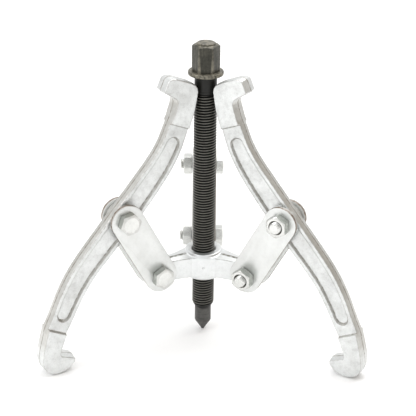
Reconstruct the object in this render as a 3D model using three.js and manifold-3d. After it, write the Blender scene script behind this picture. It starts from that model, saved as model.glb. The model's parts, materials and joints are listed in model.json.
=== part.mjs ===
// Three-arm bearing and gear puller with reversible forged jaws, links and a forcing screw.
// Millimetres, +Z up. The origin is the screw's point, on the surface that the jaws stand on.
// An arm's own frame has X outwards from the screw, Y round the screw and Z up.
import * as THREE from 'three';
import { mergeVertices } from 'three/addons/utils/BufferGeometryUtils.js';
import Module from 'manifold-3d';

const wasm = await Module();
wasm.setup();

// ---------------------------------------------------------------- driving dimensions
// Fits
const GAP = 0.3; // between faces that bear on each other, and round a shank in its hole
const HEAD_CLEAR = 0.6; // from the screw to the jaw's upper corner

// Forcing screw and its centre point
const SCREW_D = 16; // M16 x 2 major diameter
const FLANGE_OVER = 32.6; // flange's foot over the jaws' shoulders, clear of their heads
const POINT_FLAT_D = 1.6;
const POINT_CONE_H = 8.3;
const POINT_D = 12;
const POINT_LENGTH = 20.2; // cone and pilot together
const POINT_SHANK_D = 6;
const POINT_SHANK_LENGTH = 12;
const THREAD_RUN_OUT = 3.8; // taper from the pilot's size up to the thread's
const NECK_LENGTH = 12; // unthreaded, under the flange
const NECK_RELIEF = 0.25; // how much smaller the neck is, all round
const FLANGE_D = 24.5;
const FLANGE_H = 2.9;
const FLANGE_RIM = 0.9; // chamfer's height on both rims, and its width below
const FLANGE_BEVEL = 1.4; // chamfer's width above
const DRIVE_AF = 17;
const DRIVE_H = 18.6;
const DRIVE_PAD_D = 12.7;
const DRIVE_PAD_H = 1;
const DRIVE_PAD_BEVEL = 0.5;
const DRIVE_TURN = 29; // degrees from having a corner at the front

// Yoke
const YOKE_REACH = 39.1; // screw to each link pivot
const YOKE_ARM_H = 17;
const YOKE_HUB_D = 29;
const YOKE_HUB_ABOVE = 9.6; // hub's top over the pivots
const YOKE_HUB_BELOW = 10.5; // hub's foot under the pivots
const YOKE_WEB_R = 46; // hollow between neighbouring arms, round the hub
const YOKE_HUB_TOP_BEVEL = 1.2;
const YOKE_HUB_FOOT_BEVEL = 1.5;
const YOKE_MOUTH = 1; // countersink round the screw
const EYE_T = 11.4; // thickness of each eye between its two links
const ARM_ANGLES = { left: 210, right: 330, rear: 90 };
const HEAD_SIDE = { left: 1, right: 1, rear: -1 }; // which side of the arm the bolt heads are on

// Links and their bolts
const LINK_HOLES = 54.7;
const LINK_W = 24;
const LINK_T = 3;
const BOLT_D = 8;
const BOLT_AF = 14;
const BOLT_HEAD_H = 5.3;
const NUT_H = 6.5;
const BOLT_STUB = 2.5; // shank showing past the nut
const BOLT_TIP_BEVEL = 0.8;
const HEX_CHAMFER = 0.7;

// Jaw, measured from its pivot
const SHOULDER_IN = 42; // pivot to the head's step, towards the screw
const SHOULDER_UP = 60.5;
const ANKLE_OUT = 53.4; // pivot to the foot's step, away from the screw
const ANKLE_DOWN = 73;
const FOOT_H = 34; // step to the surface that it stands on
const JAW_T = 8.5;
const JAW_HEAD_T = 12.5;
const JAW_FOOT_T = 12.4;
const SHOULDER_W = 16.2;
const WAIST_W = 20.4; // at the pivot
const ANKLE_W = 16.2;
const CHANNEL_DEPTH = 2.2; // on each face, leaving a web
const CHANNEL_RIM = 3.6;
const CHANNEL_TOP_LAND = 8; // from the head's step
const CHANNEL_FOOT_LAND = 6.5; // from the foot's step
const EYE_D = 21;
const EDGE = 0.8; // chamfer on forged edges

// ---------------------------------------------------------------- what follows from them
const SCREW_R = SCREW_D / 2;
const HOLE_D = BOLT_D + 2 * GAP;
const LINK_Y = EYE_T / 2 + GAP; // inner face of each link
const SEAT_Y = LINK_Y + LINK_T + GAP; // where a bolt's head and nut seat
const HEAD_NOSE_IN = 14.2; // head's inmost corner, from the shoulder
const JAW_X = SCREW_R + HEAD_CLEAR + SHOULDER_IN + HEAD_NOSE_IN;
const JAW_Z = ANKLE_DOWN + FOOT_H;
const LINK_RISE = Math.sqrt(LINK_HOLES ** 2 - (JAW_X - YOKE_REACH) ** 2);
const YOKE_Z = JAW_Z - LINK_RISE;
const FLANGE_FOOT = JAW_Z + SHOULDER_UP + FLANGE_OVER;
const HEX_FOOT = FLANGE_FOOT + FLANGE_H;
const SCREW_LENGTH = HEX_FOOT + DRIVE_H + DRIVE_PAD_H;

// ---------------------------------------------------------------- solids
const rad = THREE.MathUtils.degToRad;

function solid(geometry) {
  const g = geometry.clone();
  g.deleteAttribute('normal');
  g.deleteAttribute('uv');
  const merged = mergeVertices(g, 1e-4);
  const vertProperties = new Float32Array(merged.attributes.position.array);
  const triVerts = new Uint32Array(merged.index.array);
  return new wasm.Manifold(new wasm.Mesh({ numProp: 3, vertProperties, triVerts }));
}

function geometryOf(body) {
  const mesh = body.getMesh();
  const g = new THREE.BufferGeometry();
  const xyz = new Float32Array((mesh.vertProperties.length / mesh.numProp) * 3);
  for (let i = 0; i < xyz.length / 3; i++) {
    for (let k = 0; k < 3; k++) xyz[3 * i + k] = mesh.vertProperties[i * mesh.numProp + k];
  }
  g.setAttribute('position', new THREE.BufferAttribute(xyz, 3));
  g.setIndex(new THREE.BufferAttribute(new Uint32Array(mesh.triVerts), 1));
  g.computeVertexNormals();
  return g;
}

const join = (first, ...rest) => rest.reduce((all, one) => all.add(one), first);

// A closed outline in the arm's X and Z, drawn out along Y and centred on it.
function slab(points, thickness, edge = 0) {
  const shape = new THREE.Shape(points.map(([x, z]) => new THREE.Vector2(x, z)));
  const g = new THREE.ExtrudeGeometry(shape, {
    depth: thickness - 2 * edge,
    bevelEnabled: edge > 0,
    bevelThickness: edge,
    bevelSize: edge,
    bevelOffset: -edge,
    bevelSegments: 1,
    curveSegments: 8,
  });
  g.translate(0, 0, edge - thickness / 2);
  g.rotateX(Math.PI / 2);
  return solid(g);
}

// A turned body about Z from [radius, height] pairs that start and end on the axis.
function turned(profile, sides = 32) {
  return new THREE.LatheGeometry(profile.map(([r, z]) => new THREE.Vector2(r, z)), sides)
    .rotateX(Math.PI / 2);
}

// A bar along Y through [x, z], from y0 to y1.
function bar(d, y0, y1, x = 0, z = 0, sides = 24) {
  const g = new THREE.CylinderGeometry(d / 2, d / 2, y1 - y0, sides);
  g.translate(x, (y0 + y1) / 2, z);
  return solid(g);
}

// A hexagon along Y, y0 to y1, with both rims chamfered where asked.
function hexagon(af, y0, y1, chamferLow, chamferHigh, turn = 0) {
  const corner = af / Math.sqrt(3);
  const prism = new THREE.CylinderGeometry(corner, corner, y1 - y0, 6);
  prism.rotateY(turn);
  prism.translate(0, (y0 + y1) / 2, 0);
  const face = corner - HEX_CHAMFER * 1.9;
  const cone = [[0, y0], [chamferLow ? face : corner + 1, y0]];
  if (chamferLow) cone.push([corner + 0.05, y0 + HEX_CHAMFER]);
  if (chamferHigh) cone.push([corner + 0.05, y1 - HEX_CHAMFER]);
  cone.push([chamferHigh ? face : corner + 1, y1], [0, y1]);
  const turning = new THREE.LatheGeometry(cone.map(([r, h]) => new THREE.Vector2(r, h)), 24);
  return solid(prism).intersect(solid(turning));
}

// ---------------------------------------------------------------- forcing screw
function centrePoint() {
  const shankR = POINT_SHANK_D / 2;
  return turned([
    [0, 0],
    [POINT_FLAT_D / 2, 0],
    [POINT_D / 2, POINT_CONE_H],
    [POINT_D / 2, POINT_LENGTH],
    [shankR, POINT_LENGTH],
    [shankR, POINT_LENGTH + POINT_SHANK_LENGTH],
    [0, POINT_LENGTH + POINT_SHANK_LENGTH],
  ]);
}

function forcingScrew() {
  const start = POINT_LENGTH + GAP;
  const socketR = POINT_SHANK_D / 2 + GAP;
  const neckR = SCREW_R - NECK_RELIEF;
  const flangeR = FLANGE_D / 2;
  const shaft = turned([
    [0, POINT_LENGTH + POINT_SHANK_LENGTH + GAP],
    [socketR, POINT_LENGTH + POINT_SHANK_LENGTH + GAP],
    [socketR, start],
    [POINT_D / 2, start],
    [SCREW_R, start + THREAD_RUN_OUT],
    [SCREW_R, FLANGE_FOOT - NECK_LENGTH],
    [neckR, FLANGE_FOOT - NECK_LENGTH + 1],
    [neckR, FLANGE_FOOT],
    [flangeR - FLANGE_RIM, FLANGE_FOOT],
    [flangeR, FLANGE_FOOT + FLANGE_RIM],
    [flangeR, HEX_FOOT - FLANGE_RIM],
    [flangeR - FLANGE_BEVEL, HEX_FOOT],
    [0, HEX_FOOT],
  ]);
  const hex = hexagon(DRIVE_AF, HEX_FOOT - 0.5, HEX_FOOT + DRIVE_H, false, true, rad(DRIVE_TURN));
  const padR = DRIVE_PAD_D / 2;
  const pad = turned([
    [0, HEX_FOOT + DRIVE_H - 1],
    [padR, HEX_FOOT + DRIVE_H - 1],
    [padR, SCREW_LENGTH - DRIVE_PAD_BEVEL],
    [padR - DRIVE_PAD_BEVEL, SCREW_LENGTH],
    [0, SCREW_LENGTH],
  ]);
  return join(solid(shaft), hex.rotate([90, 0, 0]), solid(pad));
}

// ---------------------------------------------------------------- yoke
function yokeArm() {
  const half = YOKE_ARM_H / 2;
  const outline = [[0, -half]];
  for (let a = -90; a <= 90; a += 15) {
    outline.push([YOKE_REACH + half * Math.cos(rad(a)), half * Math.sin(rad(a))]);
  }
  outline.push([0, half]);
  return slab(outline, EYE_T, EDGE);
}

// Fills the corners between neighbouring arms with a concave fillet, seen from above.
function yokeWeb() {
  const w = EYE_T / 2;
  const corner = w / Math.sin(rad(60));
  const centre = corner + YOKE_WEB_R / Math.sin(rad(60));
  const points = [];
  for (let k = 0; k < 3; k++) {
    const mid = 30 + 120 * k; // halfway between two arms
    for (let a = -30; a <= 30; a += 10) {
      const at = rad(mid);
      const on = rad(mid + 180 - a);
      points.push(new THREE.Vector2(
        centre * Math.cos(at) + YOKE_WEB_R * Math.cos(on),
        centre * Math.sin(at) + YOKE_WEB_R * Math.sin(on),
      ));
    }
  }
  const g = new THREE.ExtrudeGeometry(new THREE.Shape(points), {
    depth: YOKE_ARM_H - 2 * EDGE, bevelEnabled: false,
  });
  g.translate(0, 0, EDGE - YOKE_ARM_H / 2);
  return solid(g);
}

function yoke() {
  const hubR = YOKE_HUB_D / 2;
  const hub = turned([
    [0, -YOKE_HUB_BELOW],
    [hubR - YOKE_HUB_FOOT_BEVEL, -YOKE_HUB_BELOW],
    [hubR, YOKE_HUB_FOOT_BEVEL - YOKE_HUB_BELOW],
    [hubR, YOKE_HUB_ABOVE - YOKE_HUB_TOP_BEVEL],
    [hubR - YOKE_HUB_TOP_BEVEL, YOKE_HUB_ABOVE],
    [0, YOKE_HUB_ABOVE],
  ], 36);
  const boreR = SCREW_R + GAP;
  const bore = turned([
    [0, -YOKE_HUB_BELOW - 1],
    [boreR + YOKE_MOUTH + 1, -YOKE_HUB_BELOW - 1],
    [boreR, YOKE_MOUTH - YOKE_HUB_BELOW],
    [boreR, YOKE_HUB_ABOVE - YOKE_MOUTH],
    [boreR + YOKE_MOUTH + 1, YOKE_HUB_ABOVE + 1],
    [0, YOKE_HUB_ABOVE + 1],
  ]);
  const arm = yokeArm().subtract(bar(HOLE_D, -EYE_T, EYE_T, YOKE_REACH, 0));
  const arms = Object.values(ARM_ANGLES).map((angle) => arm.rotate([0, 0, angle]));
  return join(solid(hub), yokeWeb(), ...arms).subtract(solid(bore));
}

// ---------------------------------------------------------------- jaw
// Points along the shank's middle as shares of the shoulder and the ankle, and its width there.
const UPPER_RUN = [[1, 1, 0], [0.855, 0.757, 0.28], [0.681, 0.565, 0.55], [0.455, 0.37, 0.8]];
const LOWER_RUN = [[0.596, 0.475, 0.55], [0.777, 0.681, 0.38], [0.921, 0.892, 0.12], [1, 1, 0]];

function shankLine() {
  const at = [];
  const w = [];
  for (const [x, z, k] of UPPER_RUN) {
    at.push(new THREE.Vector3(-x * SHOULDER_IN, 0, z * SHOULDER_UP));
    w.push(SHOULDER_W + k * (WAIST_W - SHOULDER_W));
  }
  at.push(new THREE.Vector3(0.3, 0, 0.2));
  w.push(WAIST_W);
  for (const [x, z, k] of LOWER_RUN) {
    at.push(new THREE.Vector3(x * ANKLE_OUT, 0, -z * ANKLE_DOWN));
    w.push(ANKLE_W + k * (WAIST_W - ANKLE_W));
  }
  const curve = new THREE.CatmullRomCurve3(at, false, 'centripetal');
  const count = 4 * (at.length - 1);
  const line = [];
  let run = 0;
  for (let i = 0; i <= count; i++) {
    const u = i / count;
    const p = curve.getPoint(u);
    const d = curve.getTangent(u).setY(0).normalize();
    const k = Math.min(Math.floor(u * (at.length - 1)), at.length - 2);
    const f = u * (at.length - 1) - k;
    if (line.length) run += Math.hypot(p.x - line.at(-1).x, p.z - line.at(-1).z);
    line.push({ x: p.x, z: p.z, nx: -d.z, nz: d.x, half: (w[k] * (1 - f) + w[k + 1] * f) / 2, run });
  }
  return line;
}

// The outline of a strip of the shank, inset from its edges: outer side down, inner side up.
function strip(line, from, to, inset, roundEnds) {
  const part = line.filter((s) => s.run >= from && s.run <= to);
  const side = (s, sign) => [s.x + sign * s.nx * (s.half - inset), s.z + sign * s.nz * (s.half - inset)];
  const cap = (s, way) => [60, 30, 0, -30, -60].map((a) => {
    const across = way * (s.half - inset) * Math.sin(rad(a));
    const along = way * (s.half - inset) * Math.cos(rad(a));
    return [s.x + s.nx * across + s.nz * along, s.z + s.nz * across - s.nx * along];
  });
  const outer = part.map((s) => side(s, 1));
  const inner = part.map((s) => side(s, -1)).reverse();
  if (!roundEnds) return [...outer, ...inner];
  return [...outer, ...cap(part.at(-1), 1), ...inner, ...cap(part[0], -1)];
}

// Upper hook, turned outwards, from the shoulder: [x, z]
const HEAD_OUTLINE = [
  [5.8, 6.4], [3, 14.6], [2.4, 17.2], [2.8, 19.2], [4, 20.7], [12.2, 26.1],
  [12.4, 27], [9.4, 33.6], [8.4, 34.9], [6.6, 35.6], [3.2, 35.5], [-1.6, 33.7],
  [-8.2, 30.9], [-12.2, 28.6], [-13.9, 26.2], [-HEAD_NOSE_IN, 23], [-13.4, 18], [-11.7, 9.8],
];
// Lower hook, turned inwards, from the ankle; the last point's height is the foot's own.
const FOOT_OUTLINE = [
  [-4.2, -10.6], [-1.7, -16.8], [-1.4, -18.2], [-2, -19.7], [-11.6, -23.6], [-12.3, -24.4],
  [-11.9, -27.2], [-8.6, -30.8], [-4.4, -33.1], [-0.8, -34], [2.6, -34], [6.6, -32.8],
  [10.2, -30], [12.3, -26.4], [13.1, -21.6], [12, -14], [9.6, -5],
];
const FOOT_OUTLINE_H = 34;

function jaw() {
  const line = shankLine();
  const length = line.at(-1).run;
  const shank = slab(strip(line, 0, length, 0, false), JAW_T, EDGE);
  const edges = (s, sign) => [s.x + sign * s.nx * s.half, s.z + sign * s.nz * s.half];
  const top = line[0];
  const head = slab([
    edges(top, 1),
    ...HEAD_OUTLINE.map(([x, z]) => [x - SHOULDER_IN, z + SHOULDER_UP]),
    edges(top, -1),
  ].reverse(), JAW_HEAD_T, EDGE);
  const low = line.at(-1);
  const foot = slab([
    edges(low, -1),
    ...FOOT_OUTLINE.map(([x, z]) => [x + ANKLE_OUT, (z * FOOT_H) / FOOT_OUTLINE_H - ANKLE_DOWN]),
    edges(low, 1),
  ], JAW_FOOT_T, EDGE);
  const eye = bar(EYE_D, -EYE_T / 2, EYE_T / 2, 0, 0, 32);
  let body = join(shank, head, foot);
  const middle = line.reduce((a, b) => (Math.hypot(a.x, a.z) < Math.hypot(b.x, b.z) ? a : b)).run;
  const floor = JAW_T / 2 - CHANNEL_DEPTH;
  const runs = [
    [CHANNEL_TOP_LAND + SHOULDER_W / 2 - CHANNEL_RIM, middle],
    [middle, length - CHANNEL_FOOT_LAND - ANKLE_W / 2 + CHANNEL_RIM],
  ];
  for (const [from, to] of runs) {
    const cutter = slab(strip(line, from, to, CHANNEL_RIM, true), CHANNEL_DEPTH + 1);
    const y = floor + (CHANNEL_DEPTH + 1) / 2;
    body = body.subtract(cutter.translate([0, y, 0])).subtract(cutter.translate([0, -y, 0]));
  }
  return body.add(eye).subtract(bar(HOLE_D, -EYE_T, EYE_T));
}

// ---------------------------------------------------------------- links and bolts
// One plate from the yoke's pivot at 0, 0 to the jaw's, its inner face at y = 0.
function link() {
  const lean = Math.atan2(LINK_RISE, JAW_X - YOKE_REACH);
  const r = LINK_W / 2;
  const outline = [];
  for (const [cx, from] of [[LINK_HOLES, -90], [0, 90]]) {
    for (let a = from; a <= from + 180; a += 15) {
      outline.push([cx + r * Math.cos(rad(a)), r * Math.sin(rad(a))]);
    }
  }
  const flat = slab(outline, LINK_T)
    .subtract(bar(HOLE_D, -LINK_T, LINK_T))
    .subtract(bar(HOLE_D, -LINK_T, LINK_T, LINK_HOLES, 0));
  return flat.rotate([0, -THREE.MathUtils.radToDeg(lean), 0]).translate([0, LINK_T / 2, 0]);
}

// A bolt along Y with its head on the +Y side of the arm.
function bolt(turn) {
  const end = SEAT_Y + NUT_H + BOLT_STUB;
  const head = hexagon(BOLT_AF, SEAT_Y, SEAT_Y + BOLT_HEAD_H, false, true, rad(turn));
  const r = BOLT_D / 2;
  const shank = new THREE.LatheGeometry(
    [
      [0, -end],
      [r - BOLT_TIP_BEVEL, -end],
      [r, BOLT_TIP_BEVEL - end],
      [r, SEAT_Y + 1],
      [0, SEAT_Y + 1],
    ].map(([x, y]) => new THREE.Vector2(x, y)),
    24,
  );
  return head.add(solid(shank));
}

function nut(turn) {
  return hexagon(BOLT_AF, -SEAT_Y - NUT_H, -SEAT_Y, true, true, rad(turn))
    .subtract(bar(HOLE_D, -SEAT_Y - NUT_H - 1, -SEAT_Y + 1));
}

// How far each hexagon is turned about its own bolt, in degrees.
const HEX_TURNS = {
  left: { yoke: [57, 40], jaw: [40, 5] },
  right: { yoke: [20, 56], jaw: [8, 58] },
  rear: { yoke: [26, 12], jaw: [50, 30] },
};

// ---------------------------------------------------------------- the scene
const steel = { metalness: 0.9 };
const zinc = () => new THREE.MeshStandardMaterial({ ...steel, color: 0xc9cac6, roughness: 0.38 });
const forged = () => new THREE.MeshStandardMaterial({ ...steel, color: 0xd2d3cf, roughness: 0.42 });
const black = () => new THREE.MeshStandardMaterial({ ...steel, color: 0x34332f, roughness: 0.5 });
const bright = () => new THREE.MeshStandardMaterial({ ...steel, color: 0x4c4c4a, roughness: 0.42 });

const puller = new THREE.Group();

function place(parent, name, body, material, x = 0, y = 0, z = 0) {
  const mesh = new THREE.Mesh(body.isBufferGeometry ? body : geometryOf(body), material);
  mesh.name = name;
  mesh.position.set(x, y, z);
  parent.add(mesh);
  return mesh;
}

function hardware(arm, side, name, x, z, [boltTurn, nutTurn]) {
  const flip = HEAD_SIDE[side] < 0 ? Math.PI : 0;
  for (const [kind, body] of [['bolt', bolt(boltTurn)], ['nut', nut(nutTurn)]]) {
    place(arm, `${kind}_${name}_${side}`, body, zinc(), x, 0, z).rotation.z = flip;
  }
}

place(puller, 'forcing_screw', forcingScrew(), black());
place(puller, 'centre_point', geometryOf(solid(centrePoint())), bright());
place(puller, 'yoke', yoke(), forged(), 0, 0, YOKE_Z);

for (const [side, angle] of Object.entries(ARM_ANGLES)) {
  const arm = new THREE.Group();
  arm.rotation.z = rad(angle);
  place(arm, `jaw_${side}`, jaw(), forged(), JAW_X, 0, JAW_Z);
  place(arm, `link_${side}_a`, link(), zinc(), YOKE_REACH, LINK_Y, YOKE_Z);
  place(arm, `link_${side}_b`, link(), zinc(), YOKE_REACH, -LINK_Y - LINK_T, YOKE_Z);
  hardware(arm, side, 'yoke', YOKE_REACH, YOKE_Z, HEX_TURNS[side].yoke);
  hardware(arm, side, 'jaw', JAW_X, JAW_Z, HEX_TURNS[side].jaw);
  puller.add(arm);
}

export default puller;
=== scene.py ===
"""Three-arm gear puller: its visible surfaces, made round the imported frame.

Lengths are in metres and given as millimetres times MM. An arm's own frame has X outwards from
the forcing screw, Y round it and Z up. Every piece is modelled in that frame or upright on the
screw's axis, and then turned to its place.
"""

import json
import logging
import math
from contextlib import contextmanager
from dataclasses import dataclass, field, replace
from enum import Enum, IntEnum
from itertools import pairwise
from typing import Any, Callable, Iterator, Sequence

import bmesh
import bpy
import numpy as np
from mathutils import Matrix, Vector


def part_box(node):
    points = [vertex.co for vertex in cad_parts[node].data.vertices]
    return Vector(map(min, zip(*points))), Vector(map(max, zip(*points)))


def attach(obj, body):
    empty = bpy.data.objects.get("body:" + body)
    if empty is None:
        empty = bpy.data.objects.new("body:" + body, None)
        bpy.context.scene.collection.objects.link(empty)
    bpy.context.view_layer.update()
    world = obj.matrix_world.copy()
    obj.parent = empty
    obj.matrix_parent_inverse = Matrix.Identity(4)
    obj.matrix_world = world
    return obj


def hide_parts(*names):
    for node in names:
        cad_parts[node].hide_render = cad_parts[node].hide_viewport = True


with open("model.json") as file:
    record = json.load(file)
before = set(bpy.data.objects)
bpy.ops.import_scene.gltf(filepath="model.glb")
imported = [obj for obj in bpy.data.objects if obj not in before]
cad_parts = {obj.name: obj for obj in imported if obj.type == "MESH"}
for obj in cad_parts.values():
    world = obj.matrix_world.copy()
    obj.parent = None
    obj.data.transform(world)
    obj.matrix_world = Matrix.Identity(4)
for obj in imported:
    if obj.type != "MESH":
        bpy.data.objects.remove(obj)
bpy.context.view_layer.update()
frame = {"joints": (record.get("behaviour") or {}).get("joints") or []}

MM = 0.001
TOUCH = 0.001 * MM  # nearer than this, a point is on the spot
WELD = 0.002 * MM  # nearer than this, two vertices are made one
NEAR = 0.01 * MM  # nearer than this, two places along a piece are level
CLEAR = 0.02 * MM  # how far a cutter stands off what it mustn't cut
THREAD_DEPTH = 0.6134  # of a metric thread, in pitches
UP_TO_Y = Matrix.Rotation(math.radians(-90), 4, "X")
Y_TO_UP = Matrix.Rotation(math.radians(90), 4, "X")
LOG = logging.getLogger("gear_puller")

Point = tuple[float, float]
Colour = tuple[float, float, float]


class Side(Enum):
    """The three arms, by where they stand round the screw."""

    LEFT = "left"
    RIGHT = "right"
    REAR = "rear"


class Slot(Enum):
    """The record's material slots."""

    FORGED = "forged_steel"
    ZINC = "zinc_steel"
    BLACK = "black_oxide"
    POINT = "point_steel"


class Join(Enum):
    """What a boolean does with the second body."""

    ADD = "UNION"
    CUT = "DIFFERENCE"
    KEEP = "INTERSECT"


class Pivot(Enum):
    """The two pivots of an arm's links."""

    YOKE = "yoke"
    JAW = "jaw"


class Round(IntEnum):
    """How many flats stand for a circle."""

    COARSE = 40
    SMALL = 48
    THREAD = 56
    MEDIUM = 64
    LARGE = 72
    FINE = 96


# ---------------------------------------------------------------- hand operations


def put_down() -> None:
    """Leaves edit mode and deselects everything."""
    active = bpy.context.view_layer.objects.active
    if active and active.mode != "OBJECT":
        bpy.ops.object.mode_set(mode="OBJECT")
    bpy.ops.object.select_all(action="DESELECT")


def take(*pieces: bpy.types.Object) -> bpy.types.Object:
    """Selects pieces alone and makes the first one active.

    Args:
        pieces: the objects to select.

    Returns:
        The first piece.
    """
    put_down()
    for piece in pieces:
        piece.select_set(True)
    bpy.context.view_layer.objects.active = pieces[0]
    return pieces[0]


def named(name: str) -> bpy.types.Object:
    """Names the primitive that was just added, and its mesh.

    Args:
        name: the new name.

    Returns:
        The active object.
    """
    piece = bpy.context.view_layer.objects.active
    piece.name = name
    piece.data.name = name
    return piece


@contextmanager
def editing(piece: bpy.types.Object, kind: str = "FACE") -> Iterator[None]:
    """Holds a piece in edit mode, with nothing selected to begin with.

    Args:
        piece: the mesh object to edit.
        kind: the select mode, VERT, EDGE or FACE.

    Returns:
        The context, which leaves edit mode again when it ends.
    """
    take(piece)
    bpy.ops.object.mode_set(mode="EDIT")
    bpy.ops.mesh.select_mode(type=kind)
    bpy.ops.mesh.select_all(action="DESELECT")
    yield
    bpy.ops.object.mode_set(mode="OBJECT")


def pick_edges(piece: bpy.types.Object, test: Callable[[bmesh.types.BMEdge], bool]) -> None:
    """Selects the edges of a piece in edit mode that pass a test, and no others.

    Args:
        piece: the object in edit mode.
        test: says of an edge whether it is wanted.
    """
    bpy.ops.mesh.select_all(action="DESELECT")
    body = bmesh.from_edit_mesh(piece.data)
    for edge in body.edges:
        if test(edge):
            edge.select_set(True)
    body.select_flush_mode()
    bmesh.update_edit_mesh(piece.data, loop_triangles=False, destructive=False)


def finish_with(piece: bpy.types.Object, kind: str, **settings: Any) -> None:
    """Adds one modifier and applies it.

    Args:
        piece: the object to change.
        kind: the modifier's type.
        settings: its properties.
    """
    take(piece)
    modifier = piece.modifiers.new(kind.lower(), kind)
    for key, value in settings.items():
        setattr(modifier, key, value)
    bpy.ops.object.modifier_apply(modifier=modifier.name)


def combine(body: bpy.types.Object, how: Join, *tools: bpy.types.Object) -> bpy.types.Object:
    """Joins, cuts or intersects a closed body with others, which are used up.

    Args:
        body: the body that stays.
        how: the boolean.
        tools: the closed bodies it is done with, one after the other.

    Returns:
        The body.
    """
    for tool in tools:
        finish_with(body, "BOOLEAN", operation=how.value, solver="MANIFOLD", object=tool)
        bpy.data.objects.remove(tool)
    return body


def set_down(piece: bpy.types.Object, turn: Matrix) -> bpy.types.Object:
    """Moves a piece by a matrix and leaves its place in its mesh.

    Args:
        piece: the object to move.
        turn: where it goes.

    Returns:
        The piece.
    """
    take(piece)
    piece.matrix_world = turn @ piece.matrix_world
    bpy.ops.object.transform_apply(location=True, rotation=True, scale=True)
    return piece


def again(piece: bpy.types.Object, name: str, turn: Matrix) -> bpy.types.Object:
    """Copies a piece with a mesh of its own and sets the copy down elsewhere.

    Args:
        piece: the object to copy.
        name: the copy's name.
        turn: where the copy goes.

    Returns:
        The copy.
    """
    take(piece)
    bpy.ops.object.duplicate(linked=False)
    return set_down(named(name), turn)


def close_up(piece: bpy.types.Object) -> None:
    """Merges a mesh's doubles and turns its faces outwards."""
    with editing(piece, "VERT"):
        bpy.ops.mesh.select_all(action="SELECT")
        bpy.ops.mesh.remove_doubles(threshold=WELD)
        bpy.ops.mesh.normals_make_consistent(inside=False)


def smooth(piece: bpy.types.Object, degrees: float) -> None:
    """Shades a piece smooth, with creases where faces meet at more than an angle."""
    take(piece)
    bpy.ops.object.shade_smooth_by_angle(angle=math.radians(degrees))


def chain(name: str, points: Sequence[Point]) -> bpy.types.Object:
    """Draws a line in X and Z, point after point.

    Args:
        name: the object's name.
        points: its corners, as x and z.

    Returns:
        The object, which has edges and no face.
    """
    first = points[0]
    put_down()
    bpy.ops.mesh.primitive_plane_add(size=MM, location=(first[0], 0, first[1]))
    piece = named(name)
    take(piece)
    bpy.ops.object.transform_apply(location=True)
    with editing(piece, "VERT"):
        bpy.ops.mesh.select_all(action="SELECT")
        bpy.ops.mesh.merge(type="CENTER")
        for (x0, z0), (x1, z1) in pairwise(points):
            step = {"value": (x1 - x0, 0, z1 - z0)}
            bpy.ops.mesh.extrude_vertices_move(TRANSFORM_OT_translate=step)
    return piece


def drawn(name: str, points: Sequence[Point]) -> bpy.types.Object:
    """Draws a closed outline in X and Z as one face.

    Args:
        name: the object's name.
        points: the outline's corners, as x and z.

    Returns:
        The flat object, facing along Y.
    """
    piece = chain(name, points)
    with editing(piece, "VERT"):
        bpy.ops.mesh.select_all(action="SELECT")
        bpy.ops.mesh.edge_face_add()
    return piece


def forging(name: str, points: Sequence[Point], half: float, draft: float) -> bpy.types.Object:
    """Makes a drafted body that is widest at its middle plane, as a die leaves it.

    Args:
        name: the object's name.
        points: the outline on the parting plane, as x and z.
        half: half the thickness along Y.
        draft: how far each face stands in from the outline.

    Returns:
        The closed body, centred on Y = 0.
    """
    piece = drawn(name, points)
    with editing(piece):
        bpy.ops.mesh.select_all(action="SELECT")
        bpy.ops.mesh.inset(thickness=draft, depth=half)
    finish_with(piece, "MIRROR", use_axis=(False, True, False), merge_threshold=NEAR)
    close_up(piece)
    return piece


def prism(name: str, points: Sequence[Point], low: float, high: float) -> bpy.types.Object:
    """Draws an outline and extrudes it along Y.

    Args:
        name: the object's name.
        points: the outline, as x and z.
        low: where it starts along Y.
        high: where it ends.

    Returns:
        The closed body.
    """
    piece = drawn(name, points)
    with editing(piece):
        bpy.ops.mesh.select_all(action="SELECT")
        bpy.ops.transform.translate(value=(0, low, 0))
        bpy.ops.mesh.extrude_region_move(
            TRANSFORM_OT_translate={"value": (0, high - low, 0)}
        )
    close_up(piece)
    return piece


def turned(name: str, profile: Sequence[Point], sides: int) -> bpy.types.Object:
    """Turns a profile about Z.

    Args:
        name: the object's name.
        profile: radius and height from the axis round to the axis.
        sides: how many steps a turn has.

    Returns:
        The closed body.
    """
    piece = drawn(name, profile)
    with editing(piece, "EDGE"):
        bpy.ops.mesh.select_all(action="SELECT")
        bpy.ops.mesh.delete(type="ONLY_FACE")
        pick_edges(piece, lambda e: all(abs(v.co.x) < TOUCH for v in e.verts))
        bpy.ops.mesh.delete(type="EDGE")
        bpy.ops.mesh.select_all(action="SELECT")
        bpy.ops.mesh.spin(steps=sides, angle=math.tau, center=(0, 0, 0), axis=(0, 0, 1))
    close_up(piece)
    return piece


def pin(name: str, radius: float, low: float, high: float, at: Point = (0, 0),
        sides: int = Round.SMALL) -> bpy.types.Object:
    """A round bar along Y, used to cut holes and to make shanks.

    Args:
        name: the object's name.
        radius: its radius.
        low: where it starts along Y.
        high: where it ends.
        at: its centre, as x and z.
        sides: how many sides it has.

    Returns:
        The closed body.
    """
    put_down()
    bpy.ops.mesh.primitive_cylinder_add(
        vertices=sides, radius=radius, depth=high - low,
        location=(at[0], (low + high) / 2, at[1]), rotation=(math.radians(90), 0, 0),
    )
    piece = named(name)
    bpy.ops.object.transform_apply(location=True, rotation=True)
    return piece


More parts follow.
